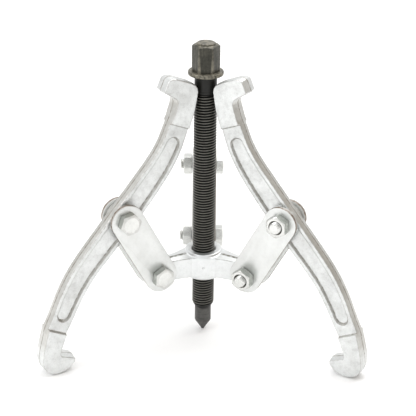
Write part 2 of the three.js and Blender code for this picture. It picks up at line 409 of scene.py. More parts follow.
def hex_bar(name: str, across_flats: float, low: float, high: float,
            corner_round: float) -> bpy.types.Object:
    """A hexagonal bar along Y with its long edges rounded.

    Args:
        name: the object's name.
        across_flats: its width across the flats.
        low: where it starts along Y.
        high: where it ends.
        corner_round: how far the rounding reaches from each edge.

    Returns:
        The closed body.
    """
    body = pin(name, across_flats / math.sqrt(3), low, high, sides=6)
    with editing(body, "EDGE"):
        pick_edges(body, lambda e: abs(e.verts[0].co.y - e.verts[1].co.y) > TOUCH)
        bpy.ops.mesh.bevel(offset=corner_round, segments=3, affect="EDGES")
    return body


def threaded(name: str, major: float, pitch: float, low: float, high: float,
             sides: int) -> bpy.types.Object:
    """Cuts a right-hand metric thread on a bar along Z.

    Args:
        name: the object's name.
        major: the thread's outer radius.
        pitch: its pitch.
        low: where the bar starts.
        high: where it ends.
        sides: how many steps a turn has.

    Returns:
        The closed body.
    """
    root = major - THREAD_DEPTH * pitch
    start = low - 2 * pitch
    tooth = ((root, 0.0), (root, 0.2), (major, 0.52), (major, 0.68), (root, 1.0))
    piece = chain(name, [(radius, start + share * pitch) for radius, share in tooth])
    finish_with(
        piece, "SCREW", axis="Z", screw_offset=pitch, steps=sides, render_steps=sides,
        iterations=math.ceil((high - start) / pitch) + 2, use_merge_vertices=True,
        merge_threshold=TOUCH,
    )
    for height, way in ((low, -1), (high, 1)):
        with editing(piece, "EDGE"):
            bpy.ops.mesh.select_all(action="SELECT")
            bpy.ops.mesh.bisect(
                plane_co=(0, 0, height), plane_no=(0, 0, way), use_fill=True, clear_outer=True
            )
    close_up(piece)
    return piece


def arc(centre: Point, radius: float, start: float, end: float, steps: int) -> list[Point]:
    """Points along an arc.

    Args:
        centre: its centre.
        radius: its radius.
        start: the first point's angle, in degrees.
        end: the last point's angle.
        steps: how many pieces it is in.

    Returns:
        steps + 1 points.
    """
    angles = [math.radians(start + (end - start) * i / steps) for i in range(steps + 1)]
    x, z = centre
    return [(x + radius * math.cos(a), z + radius * math.sin(a)) for a in angles]


def spline(points: Sequence[Vector], steps: int) -> list[tuple[float, Vector, Vector]]:
    """A centripetal Catmull-Rom curve through points.

    Args:
        points: the points it passes.
        steps: how many pieces each span is in.

    Returns:
        For each point along it, its span, its place and its direction.
    """
    ends = [2 * points[0] - points[1], *points, 2 * points[-1] - points[-2]]
    line = []
    for i in range(len(points) - 1):
        a, b, c, d = ends[i:i + 4]
        ab, bc, cd = (math.sqrt((q - p).length) for p, q in ((a, b), (b, c), (c, d)))
        leave = ((b - a) / ab - (c - a) / (ab + bc) + (c - b) / bc) * bc
        arrive = ((c - b) / bc - (d - b) / (bc + cd) + (d - c) / cd) * bc
        square = 3 * (c - b) - 2 * leave - arrive
        cube = 2 * (b - c) + leave + arrive
        for k in range(steps + (i == len(points) - 2)):
            t = k / steps
            place = b + t * leave + t * t * square + t ** 3 * cube
            heading = leave + 2 * t * square + 3 * t * t * cube
            line.append((i + t, place, heading.normalized()))
    return line


# ---------------------------------------------------------------- shader wiring


class Wire:
    """A node's output that takes part in sums, and adds the Math nodes that they need."""

    def __init__(self, graph: "Graph", socket: bpy.types.NodeSocket) -> None:
        """Wraps one output socket of a graph."""
        self.graph = graph
        self.socket = socket

    def _math(self, operation: str, first: Any, second: Any) -> "Wire":
        """Adds one Math node on two values or wires."""
        return self.graph.node("ShaderNodeMath", {"operation": operation}, {0: first, 1: second})

    def __add__(self, other: Any) -> "Wire":
        """self + other"""
        return self._math("ADD", self, other)

    def __radd__(self, other: Any) -> "Wire":
        """other + self"""
        return self._math("ADD", other, self)

    def __sub__(self, other: Any) -> "Wire":
        """self - other"""
        return self._math("SUBTRACT", self, other)

    def __rsub__(self, other: Any) -> "Wire":
        """other - self"""
        return self._math("SUBTRACT", other, self)

    def __mul__(self, other: Any) -> "Wire":
        """self * other"""
        return self._math("MULTIPLY", self, other)

    def __rmul__(self, other: Any) -> "Wire":
        """other * self"""
        return self._math("MULTIPLY", other, self)

    def clamped(self) -> "Wire":
        """The value held between 0 and 1."""
        settings = {"operation": "ADD", "use_clamp": True}
        return self.graph.node("ShaderNodeMath", settings, {0: self, 1: 0.0})


class Graph:
    """A node tree that is filled through one method."""

    def __init__(self, tree: bpy.types.NodeTree) -> None:
        """Empties a tree and takes it over."""
        self.tree = tree
        tree.nodes.clear()

    def node(self, kind: str, settings: dict[str, Any] | None = None,
             sockets: dict[int | str, Any] | None = None, output: int | str = 0) -> Wire:
        """Adds one node.

        Args:
            kind: the node's type.
            settings: its own properties, and stops for a ramp's colours.
            sockets: the values or wires that its inputs take.
            output: which output to hand back.

        Returns:
            The chosen output, or the first input of a node that ends a graph.
        """
        made = self.tree.nodes.new(kind)
        for key, value in (settings or {}).items():
            if key == "stops":
                self._stops(made.color_ramp, value)
            else:
                setattr(made, key, value)
        for key, value in (sockets or {}).items():
            if isinstance(value, Wire):
                self.tree.links.new(value.socket, made.inputs[key])
            else:
                made.inputs[key].default_value = value
        return Wire(self, made.outputs[output] if made.outputs else made.inputs[0])

    @staticmethod
    def _stops(ramp: bpy.types.ColorRamp, stops: Sequence[tuple[float, Sequence[float]]]) -> None:
        """Gives a ramp its stops, as places and colours."""
        while len(ramp.elements) < len(stops):
            ramp.elements.new(1.0)
        for element, (place, colour) in zip(ramp.elements, stops):
            element.position = place
            element.color = (*colour, 1.0)

    def place(self) -> Wire:
        """The point's place in the piece's own frame."""
        return self.node("ShaderNodeTexCoord", output="Object")

    def attribute(self, name: str) -> Wire:
        """A value that is stored on the mesh."""
        return self.node("ShaderNodeAttribute", {"attribute_name": name}, output="Fac")

    def noise(self, size: float, detail: float, rough: float,
              stretch: Sequence[float] = (1, 1, 1)) -> Wire:
        """Noise from 0 to 1 with features of a real size.

        Args:
            size: how wide a feature is, in metres.
            detail: how many finer layers there are.
            rough: how strong the finer layers are.
            stretch: how much finer it is along each axis.

        Returns:
            The noise.
        """
        at = self.node("ShaderNodeMapping", {}, {"Vector": self.place(), "Scale": stretch})
        sockets = {"Vector": at, "Scale": 1 / size, "Detail": detail, "Roughness": rough}
        return self.node("ShaderNodeTexNoise", {}, sockets, "Fac")

    def ramp(self, value: Wire, low: float, high: float, to_low: float = 0.0) -> Wire:
        """Maps a value's range onto one that ends at 1, smoothly and without running past it.

        Args:
            value: the value.
            low: where the range starts.
            high: where it ends.
            to_low: what low becomes.

        Returns:
            The mapped value.
        """
        sockets = {0: value, 1: low, 2: high, 3: to_low, 4: 1.0}
        return self.node("ShaderNodeMapRange", {"interpolation_type": "SMOOTHSTEP"}, sockets)

    def blend(self, first: Any, second: Any, share: Any) -> Wire:
        """Mixes two colours.

        Args:
            first: the colour at 0.
            second: the colour at 1.
            share: how much of the second there is.

        Returns:
            The mixed colour.
        """
        sides = [(*c, 1.0) if isinstance(c, tuple) else c for c in (first, second)]
        sockets = {0: share, 6: sides[0], 7: sides[1]}
        return self.node("ShaderNodeMix", {"data_type": "RGBA"}, sockets, 2)

    def bump(self, height: Wire, depth: float, strength: float) -> Wire:
        """Turns a height from 0 to 1 into a normal.

        Args:
            height: the height.
            depth: how deep a height of 1 is, in metres.
            strength: how much of it shows.

        Returns:
            The normal.
        """
        sockets = {"Strength": strength, "Distance": depth, "Height": height}
        return self.node("ShaderNodeBump", {}, sockets)

    def surface(self, varying: dict[str, Any], fixed: dict[str, Any]) -> None:
        """Ends a material's graph in one shader.

        Args:
            varying: what changes over the surface, by the shader's socket.
            fixed: what is the same all over it.
        """
        shader = self.node("ShaderNodeBsdfPrincipled", {}, {**fixed, **varying})
        self.node("ShaderNodeOutputMaterial", {}, {"Surface": shader})


def new_material(name: str) -> tuple[bpy.types.Material, Graph]:
    """Starts a material with an empty graph."""
    material = bpy.data.materials.new(name)
    material.use_nodes = True
    return material, Graph(material.node_tree)


# ---------------------------------------------------------------- finishes


@dataclass(frozen=True)
class BrightZinc:
    """Bright zinc plate over steel: satin, near white, a little cloudy.

    The flank attribute is 1 on a piece's sides, which the flanks colour darkens as painted shade
    and painted dark reflection. The line attribute is 1 where the plate is darkened: along a
    forging's parting line and a sheared edge's break, partly as real wear and dirt and partly as
    painted shade; along rounded edges, chamfers, holes and a thread's grooves as painted shade;
    and along the yoke's arms as a painted dark reflection.
    """

    name: str
    light_zinc: Colour
    dull: Colour
    flanks: Colour
    stain_and_shade: Colour
    gloss: float
    matt: float
    grain: float
    grain_depth: float
    pitting: float
    flank_shade: float
    line_shade: float
    cloud_size: float = 14 * MM
    patch_size: float = 3.2 * MM
    pit_size: float = 1.1 * MM
    break_size: float = 2.2 * MM

    def material(self) -> bpy.types.Material:
        """Builds the plated finish.

        Returns:
            The material.
        """
        material, g = new_material(self.name)
        cloud = g.noise(self.cloud_size, detail=4.0, rough=0.6)
        patch = g.noise(self.patch_size, detail=3.0, rough=0.55)
        grain = g.noise(self.grain, detail=4.0, rough=0.65)
        pits = g.ramp(g.noise(self.pit_size, detail=2.0, rough=0.5), 0.68, 0.80) * self.pitting
        flank = g.attribute("flank")
        uneven = g.ramp(g.noise(self.break_size, detail=3.0, rough=0.6), 0.32, 0.62, to_low=0.35)
        # The line attribute's darkening: partly real wear and dirt, partly painted shade and
        # painted dark reflection.
        dirt_and_painted_shade = g.attribute("line") * uneven
        tone = g.ramp(cloud, 0.35, 0.7) * 0.4 + g.ramp(patch, 0.4, 0.75) * 0.3
        tone = tone + g.ramp(grain, 0.4, 0.75) * 0.3
        colour = g.blend(self.light_zinc, self.dull, tone)
        colour = g.blend(colour, self.stain_and_shade, pits * 0.4)
        # Painted shade and dark reflection on the sides, in the flanks colour, made patchy by
        # noise.
        shaded_flanks = flank * self.flank_shade * g.ramp(patch, 0.25, 0.6, to_low=0.7)
        colour = g.blend(colour, self.flanks, shaded_flanks)
        # The lines darkened in the same dark colour as the pits: partly real wear and dirt, partly
        # painted shade.
        colour = g.blend(colour, self.stain_and_shade, dirt_and_painted_shade * self.line_shade)
        rough = self.gloss + (self.matt - self.gloss) * tone + pits * 0.12 + dirt_and_painted_shade * 0.35
        height = grain * 0.7 + patch * 0.5 - pits * 0.6 - dirt_and_painted_shade * 0.8
        normal = g.bump(height, self.grain_depth, 0.6)
        g.surface(
            {"Base Color": colour, "Roughness": rough.clamped(), "Normal": normal},
            {"Metallic": 0.9, "Specular IOR Level": 0.5},
        )
        return material


@dataclass(frozen=True)
class BlackOxide:
    """Oiled black oxide: near black in the grooves as painted shade, grey on the crests as wear and
    painted highlight.

    The crest attribute runs from 0 in a groove to 1 on a crest. The raw attribute is 1 where the
    screw is left as forged, and rim is 1 along the flange's rim and the hex's top edge, which are
    painted lighter, partly as wear and partly as painted highlight.
    """

    name: str
    groove: Colour
    # The crests' lighter colour: partly wear, partly painted highlight.
    black: Colour
    painted_lighter: Colour
    raw: Colour
    raw_light: Colour
    gloss: float
    matt: float
    grain_depth: float
    raw_depth: float
    cloud_size: float = 9 * MM
    patch_size: float = 1.8 * MM
    grain_size: float = 0.35 * MM
    streak_size: float = 1.3 * MM
    lump_size: float = 2.4 * MM

    def material(self) -> bpy.types.Material:
        """Builds the blackened finish.

        Returns:
            The material.
        """
        material, g = new_material(self.name)
        cloud = g.noise(self.cloud_size, detail=4.0, rough=0.6)
        patch = g.noise(self.patch_size, detail=4.0, rough=0.65)
        grain = g.noise(self.grain_size, detail=3.0, rough=0.6)
        drawn_lines = g.noise(self.streak_size, detail=3.0, rough=0.6, stretch=(1.0, 1.0, 0.10))
        crest, raw, rim = (g.attribute(name) for name in ("crest", "raw", "rim"))
        tone = g.ramp(cloud, 0.3, 0.7) * 0.5 + g.ramp(patch, 0.35, 0.7) * 0.5
        # Painted shade: the grooves near black.
        thread = g.blend(self.groove, self.black, g.ramp(crest, 0.1, 0.6))
        # The crests lighter: partly wear, partly painted highlight.
        crest_wear_and_highlight = g.ramp(crest, 0.72, 0.95) * g.ramp(patch, 0.25, 0.6, to_low=0.55)
        thread = g.blend(thread, self.painted_lighter, crest_wear_and_highlight)
        streak = g.ramp(drawn_lines, 0.45, 0.75) * 0.6 + tone * 0.4
        lumps = g.ramp(g.noise(self.lump_size, detail=3.0, rough=0.6), 0.38, 0.60, to_low=0.15)
        # The rim painted lighter: partly wear, partly painted highlight.
        forged = g.blend(self.raw, self.raw_light, (streak * 0.5 + rim * lumps).clamped())
        colour = g.blend(thread, forged, raw)
        rough = self.matt - (self.matt - self.gloss) * tone - crest * 0.06
        fine = grain * 0.5 + patch * 0.5
        coarse = (patch * 0.7 + cloud * 0.3) * (self.raw_depth / self.grain_depth)
        height = fine + raw * (coarse - fine)
        g.surface(
            {"Base Color": colour, "Roughness": rough.clamped(),
             "Normal": g.bump(height, self.grain_depth, 0.6)},
            {"Metallic": 0.35, "Specular IOR Level": 0.5},
        )
        return material


@dataclass(frozen=True)
class GroundSteel:
    """A turned and blackened point, with fine rings round its axis."""

    name: str
    dark: Colour
    light: Colour
    rough: float
    ring: float
    ring_depth: float = 0.02 * MM
    cloud_size: float = 4 * MM

    def material(self) -> bpy.types.Material:
        """Builds the turned finish.

        Returns:
            The material.
        """
        material, g = new_material(self.name)
        cloud = g.noise(self.cloud_size, detail=4.0, rough=0.6)
        rings = g.noise(self.ring, detail=2.0, rough=0.5, stretch=(0.02, 0.02, 1.0))
        tone = g.ramp(cloud, 0.3, 0.7) * 0.6 + g.ramp(rings, 0.35, 0.65) * 0.4
        colour = g.blend(self.dark, self.light, tone)
        rough = self.rough + 0.12 * cloud
        normal = g.bump(rings, self.ring_depth, 0.5)
        g.surface(
            {"Base Color": colour, "Roughness": rough, "Normal": normal},
            {"Metallic": 0.5, "Specular IOR Level": 0.5},
        )
        return material


# The jaws' zinc is painted darker than the yoke's, as a shaded copy of one plate; its flanks colour
# paints shade and dark reflection on the jaws' sides.
ZINC_ON_JAWS = BrightZinc(
    "bright_zinc_on_jaws", light_zinc=(0.755, 0.77, 0.765), dull=(0.49, 0.495, 0.485),
    flanks=(0.42, 0.405, 0.37), stain_and_shade=(0.20, 0.17, 0.13), gloss=0.32, matt=0.48,
    grain=0.7 * MM, grain_depth=0.15 * MM, pitting=0.8, flank_shade=0.65, line_shade=0.8,
)
# The yoke's zinc is a lighter copy of the jaws', painted lighter because the yoke is lit brighter;
# its dark line colour paints a dark reflection along the arms.
ZINC_ON_YOKE = BrightZinc(
    "bright_zinc_on_yoke", light_zinc=(0.785, 0.80, 0.80), dull=(0.65, 0.665, 0.66),
    flanks=(0.60, 0.59, 0.56), stain_and_shade=(0.15, 0.14, 0.11), gloss=0.32, matt=0.48,
    grain=0.7 * MM, grain_depth=0.09 * MM, pitting=0.8, flank_shade=0.15, line_shade=0.95,
)
# The plates' flanks colour paints shade on their side walls; the line colour darkens the sheared
# break, partly real and partly painted shade.
ZINC_ON_LINKS = BrightZinc(
    "bright_zinc_on_links", light_zinc=(0.745, 0.755, 0.745), dull=(0.655, 0.665, 0.65),
    flanks=(0.40, 0.385, 0.36), stain_and_shade=(0.17, 0.11, 0.07), gloss=0.34, matt=0.42,
    grain=0.5 * MM, grain_depth=0.015 * MM, pitting=0.1, flank_shade=0.75, line_shade=0.85,
)
# The flanks colour paints shade and dark reflection on the flats of the front bolts and nuts, and
# the line colour paints shade along chamfers, in holes and in thread grooves.
ZINC_ON_HARDWARE = BrightZinc(
    "bright_zinc_on_hardware", light_zinc=(0.76, 0.765, 0.745), dull=(0.58, 0.585, 0.565),
    flanks=(0.33, 0.35, 0.32), stain_and_shade=(0.10, 0.085, 0.065), gloss=0.20, matt=0.32,
    grain=0.3 * MM, grain_depth=0.02 * MM, pitting=0.2, flank_shade=0.8, line_shade=0.95,
)
# A lighter copy for the rear bolts and nuts, whose flats are lit brighter: less painted shade on
# the flats, chamfers and holes.
ZINC_ON_REAR_HARDWARE = replace(
    ZINC_ON_HARDWARE, name="bright_zinc_on_rear_hardware", flank_shade=0.1, line_shade=0.6
)
OXIDE_ON_SCREW = BlackOxide(
    "black_oxide_on_screw", groove=(0.003, 0.003, 0.002), black=(0.018, 0.018, 0.015),
    painted_lighter=(0.215, 0.21, 0.185), raw=(0.018, 0.0185, 0.0125), raw_light=(0.20, 0.185, 0.145),
    gloss=0.36, matt=0.55, grain_depth=0.05 * MM, raw_depth=0.22 * MM,
)
TURNED_POINT = GroundSteel(
    "turned_point", dark=(0.055, 0.054, 0.050), light=(0.105, 0.103, 0.097),
    rough=0.40, ring=0.35 * MM,
)


# ---------------------------------------------------------------- where the frame puts things


@dataclass(frozen=True)
class Arm:
    """One arm's place: its angle round the screw, and its two pivots in its own X and Z."""

    side: Side
    angle: float
    yoke_pivot: Point
    jaw_pivot: Point

    @property
    def turn(self) -> Matrix:
        """The turn from the arm's own frame to its place."""
        return Matrix.Rotation(self.angle, 4, "Z")

    @property
    def flip(self) -> float:
        """The turn that puts the bolt heads on the side they are on."""
        return math.pi if self.side is Side.REAR else 0.0


def arms_of_frame() -> list[Arm]:
    """Reads each arm's pivots from the frame's joints.

    Returns:
        The arms, in the order of Side.
    """
    pivots = {j["name"]: Vector(j["pos_m"]) for j in frame["joints"] if "pos_m" in j}
    arms = []
    for side in Side:
        low, high = pivots[f"link_swing_{side.value}"], pivots[f"jaw_swing_{side.value}"]
        arms.append(Arm(
            side, math.atan2(low.y, low.x),
            (math.hypot(low.x, low.y), low.z), (math.hypot(high.x, high.y), high.z),
        ))
    return arms


def stand_in(piece: bpy.types.Object, node: str, body: str,
             material: bpy.types.Material) -> None:
    """Dresses a finished piece, puts it in its CAD node's place and hangs it on its body.

    Args:
        piece: the finished piece.
        node: the CAD node that it stands for.
        body: the body that it moves with.
        material: its finish.
    """
    piece.data.materials.clear()
    piece.data.materials.append(material)
    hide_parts(node)
    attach(piece, body)
    LOG.info("%s: %d faces, rides on %s", piece.name, len(piece.data.polygons), body)


def readings(piece: bpy.types.Object, faces: bool = False) -> tuple[np.ndarray, np.ndarray]:
    """A mesh's places and normals, one row for each vertex or for each face.

    Args:
        piece: the object.
        faces: whether to read its faces.

    Returns:
        The places and the normals.
    """
    items = piece.data.polygons if faces else piece.data.vertices
    places = np.empty(len(items) * 3, np.float32)
    headings = np.empty(len(items) * 3, np.float32)
    items.foreach_get("center" if faces else "co", places)
    items.foreach_get("normal", headings)
    return places.reshape(-1, 3), headings.reshape(-1, 3)


def mark(piece: bpy.types.Object, name: str, values: np.ndarray, faces: bool = False) -> None:
    """Stores a value from 0 to 1 on every vertex or face, for a finish to read.

    Args:
        piece: the object.
        name: the attribute's name.
        values: one value for each vertex, or for each face.
        faces: whether they are the faces' values.
    """
    layer = piece.data.attributes.new(name, "FLOAT", "FACE" if faces else "POINT")
    layer.data.foreach_set("value", np.asarray(values, np.float32).clip(0, 1))


def fade(distance: np.ndarray, full: float, none: float) -> np.ndarray:
    """A share that is 1 up to one distance and falls to 0 at a greater one.

    Args:
        distance: the distances.
        full: up to where it is 1.
        none: from where it is 0.

    Returns:
        The share for each distance.
    """
    return np.clip((none - distance) / (none - full), 0, 1)


# ---------------------------------------------------------------- forging


@dataclass
class Forging:
    """What the jaws and the yoke share: how a rough body becomes a forged surface.

    A lean is how much of a face's normal points across the die plane: 1 on the broad faces, and
    near 0 on the drafted flanks.
    """

    grid: float = 0.44 * MM
    rounding: int = 3
    parting_half: float = 0.30 * MM
    flank_lean: Point = (0.37, 0.62)
    edge_lean: float = 0.66
    edge_reach: Point = (0.1, 0.3)
    edge_share: float = 0.9

    def soften(self, piece: bpy.types.Object) -> None:
        """Rounds every edge and corner of a sharp body, as a die that has seen long use leaves
        them.
        """
        finish_with(piece, "REMESH", mode="VOXEL", voxel_size=self.grid, use_smooth_shade=True)
        finish_with(piece, "SMOOTH", factor=0.5, iterations=self.rounding)

    def mark_flanks(self, piece: bpy.types.Object, middles: Sequence[Matrix],
                    beyond: float = -math.inf, painted_lighter: Sequence[Point] = ((0, 1),)) -> None:
        """Marks the drafted flanks for painted shade and dark reflection, the parting line at their
        middle, and their edges for a painted dark outline.

        Args:
            piece: the softened body.
            middles: for each die plane, the matrix that brings it to Y = 0.
            beyond: how far along X from the middle the marks start.
            painted_lighter: heights, and how much of the flanks' painted shade is left there.
        """
        places, headings = readings(piece)
        flank = np.zeros(len(places))
        line = np.zeros(len(places))
        for middle in middles:
            turn = np.array(middle.to_3x3())
            at = places @ turn.T
            lean = np.abs(headings @ turn.T)[:, 1]
            wanted = at[:, 0] >= beyond
            # The drafted flanks, for the finish's painted shade and dark reflection.
            here = fade(lean, *self.flank_lean) * wanted
            flank = np.maximum(flank, here)
            near = fade(np.abs(at[:, 1]), self.parting_half, 2 * self.parting_half)
            # A painted dark outline along the rounded edges between the flanks and the broad faces.
            edge = fade(np.abs(lean - self.edge_lean), *self.edge_reach) * wanted
            line = np.maximum(line, np.maximum(here * near, edge * self.edge_share))
        # Less of the flanks' painted shade at the given heights, so the hook ends are painted
        # lighter.
        mark(piece, "flank", flank * np.interp(places[:, 2], *zip(*painted_lighter)))
        mark(piece, "line", line)


@dataclass
class Jaw(Forging):
    """A jaw with a channel in each face, an outward upper hook and an inward lower hook.

    The outline is measured from the pivot. The shank's middle line passes through points given
    as shares of the way to the shoulder and to the ankle, each with its share of the waist. The
    hooks' corners are in millimetres from the shoulder and the ankle. From given heights on, the
    flanks keep only a share of their painted shade, so the hook ends are painted lighter.
    """

    shoulder: Point = (-42 * MM, 60.5 * MM)
    middle: Point = (0.3 * MM, 0.2 * MM)
    ankle: Point = (53.4 * MM, -73 * MM)
    shank_half: float = 4.25 * MM
    head_half: float = 6.25 * MM
    foot_half: float = 6.2 * MM
    shoulder_width: float = 16.2 * MM
    waist_width: float = 20.4 * MM
    ankle_width: float = 16.2 * MM
    shank_draft: float = 0.5 * MM
    end_draft: float = 0.65 * MM
    channel_depth: float = 2.2 * MM
    channel_draft: float = 0.8 * MM
    channel_rim: float = 3.4 * MM
    channel_from_shoulder: float = 8.0 * MM
    channel_from_ankle: float = 6.5 * MM
    eye_radius: float = 10.5 * MM
    eye_half: float = 5.7 * MM
    hole_radius: float = 4.3 * MM
    lap: float = 5.0 * MM
    lap_inset: float = 0.6 * MM
    span_steps: int = 5
    upper_run: tuple[tuple[float, float, float], ...] = (
        (1, 1, 0), (0.855, 0.757, 0.28), (0.681, 0.565, 0.55), (0.455, 0.37, 0.8),
    )
    lower_run: tuple[tuple[float, float, float], ...] = (
        (0.596, 0.475, 0.55), (0.777, 0.681, 0.38), (0.921, 0.892, 0.12), (1, 1, 0),
    )
    # Heights along the jaw, and the share of the flanks' painted shade left there: the hook ends
    # are painted lighter.
    painted_lighter: tuple[Point, ...] = (
        (-89 * MM, 0.15), (-81 * MM, 1), (78.5 * MM, 1), (82.5 * MM, 0.15),
    )
    head: tuple[Point, ...] = (
        (5.8, 6.4), (3, 14.6), (2.4, 17.2), (2.8, 19.2), (4, 20.7), (12.2, 26.1), (12.4, 27),
        (9.4, 33.6), (8.4, 34.9), (6.6, 35.6), (3.2, 35.5), (-1.6, 33.7), (-8.2, 30.9),
        (-12.2, 28.6), (-13.9, 26.2), (-14.2, 23), (-13.4, 18), (-11.7, 9.8),
    )
    foot: tuple[Point, ...] = (
        (-4.2, -10.6), (-1.7, -16.8), (-1.4, -18.2), (-2, -19.7), (-11.6, -23.6),
        (-12.3, -24.4), (-11.9, -27.2), (-8.6, -30.8), (-4.4, -33.1), (-0.8, -34), (2.6, -34),
        (6.6, -32.8), (10.2, -30), (12.3, -26.4), (13.1, -21.6), (12, -14), (9.6, -5),
    )

    def shank_line(self) -> list[tuple[Vector, Vector, float, float]]:
        """Lays the shank's middle line through its stations.

        Returns:
            For each point along it, its place, normal, half width and run from the shoulder.
        """
        stations = []
        for (end_x, end_z), width, shares in (
            (self.shoulder, self.shoulder_width, self.upper_run),
            (self.middle, self.waist_width, ((1, 1, 1),)),
            (self.ankle, self.ankle_width, self.lower_run),
        ):
            stations += [(Vector((end_x * x, 0, end_z * z)), width, k) for x, z, k in shares]
        widths = [w + k * (self.waist_width - w) for _, w, k in stations]
        line = []
        run = 0.0
        for span, place, heading in spline([p for p, _, _ in stations], self.span_steps):
            k = min(int(span), len(widths) - 2)
            width = widths[k] + (span - k) * (widths[k + 1] - widths[k])
            if line:
                run += (place - line[-1][0]).length
            normal = Vector((-heading.z, 0, heading.x))
            line.append((place, normal, width / 2, run))
        return line

    def strip(self, low: float, high: float, inset: float, rounded: bool) -> list[Point]:
        """The outline of a stretch of the shank.

        Args:
            low: where it starts, as run from the shoulder.
            high: where it ends.
            inset: how far it stays in from the shank's edges.
            rounded: whether its ends are round.

        Returns:
            The outline in X and Z.
        """
        part = [s for s in self.shank_line() if low - NEAR <= s[3] <= high + NEAR]
        outer = [p + n * (half - inset) for p, n, half, _ in part]
        inner = [p - n * (half - inset) for p, n, half, _ in part]
        caps = []
        for (place, normal, half, _), way in ((part[-1], 1), (part[0], -1)):
            ahead = Vector((normal.z, 0, -normal.x)) * way
            reach = half - inset
            cap = []
            if rounded:
                cap = [
                    place + reach * (way * normal * math.sin(a) + ahead * math.cos(a))
                    for a in (math.radians(d) for d in (60, 30, 0, -30, -60))
                ]
            caps.append(cap)
        ring = outer + caps[0] + inner[::-1] + caps[1]
        return [(p.x, p.z) for p in ring]

    def lapped_shank(self) -> list[Point]:
        """Outlines the shank, carried on a little into the head and the foot.

        Returns:
            The outline in X and Z.
        """
        line = self.shank_line()
        ends = []
        for place, normal, half, _ in (line[0], line[-1]):
            way = -1 if place is line[0][0] else 1
            ahead = Vector((normal.z, 0, -normal.x)) * way * self.lap
            ends.append((place + ahead, normal, half - self.lap_inset))
        rows = [ends[0], *[(p, n, h) for p, n, h, _ in line], ends[1]]
        ring = [p + n * h for p, n, h in rows] + [p - n * h for p, n, h in reversed(rows)]
        return [(p.x, p.z) for p in ring]

    def end_outline(self, table: Sequence[Point], root: Point, at_shoulder: bool) -> list[Point]:
        """The head's or the foot's outline, from the shank's edges round the hook.

        Args:
            table: the hook's corners in millimetres from its root.
            root: the shoulder or the ankle.
            at_shoulder: whether it is the head.

        Returns:
            The outline in X and Z.
        """
        place, normal, half, _ = self.shank_line()[0 if at_shoulder else -1]
        way = 1 if at_shoulder else -1
        first, last = place + way * normal * half, place - way * normal * half
        hook = [(root[0] + x * MM, root[1] + z * MM) for x, z in table]
        return [(first.x, first.z), *hook, (last.x, last.z)]

    def model(self) -> bpy.types.Object:
        """Models one jaw about its pivot, in the arm's frame.

        Returns:
            The finished jaw.
        """
        length = self.shank_line()[-1][3]
        body = forging("jaw", self.lapped_shank(), self.shank_half, self.shank_draft)
        for name, table, root, half in (("head", self.head, self.shoulder, self.head_half),
                                        ("foot", self.foot, self.ankle, self.foot_half)):
            outline = self.end_outline(table, root, name == "head")
            combine(body, Join.ADD, forging(name, outline, half, self.end_draft))
        low = self.channel_from_shoulder + self.shoulder_width / 2 - self.channel_rim
        high = length - self.channel_from_ankle - self.ankle_width / 2 + self.channel_rim
        groove = self.strip(low, high, self.channel_rim, True)
        for way in (-1, 1):
            channel = forging("channel", groove, self.channel_depth, self.channel_draft)
            set_down(channel, Matrix.Translation((0, way * self.shank_half, 0)))
            combine(body, Join.CUT, channel)
        combine(body, Join.ADD, pin("eye", self.eye_radius, -self.eye_half, self.eye_half))
        self.soften(body)
        self.mark_flanks(body, [Matrix.Identity(4)], painted_lighter=self.painted_lighter)
        reach = 2 * self.eye_half
        return combine(body, Join.CUT, pin("hole", self.hole_radius, -reach, reach))

    def build(self, arms: Sequence[Arm]) -> None:
        """Models one jaw and sets a copy down on every arm.

        Args:
            arms: where the arms stand.
        """
        material = ZINC_ON_JAWS.material()
        master = self.model()
        for arm in arms:
            side = arm.side.value
            x, z = arm.jaw_pivot
            place = arm.turn @ Matrix.Translation((x, 0, z))
            piece = again(master, f"forged_jaw_{side}", place)
            stand_in(piece, f"jaw_{side}", f"arm_{side}", material)
        bpy.data.objects.remove(master)


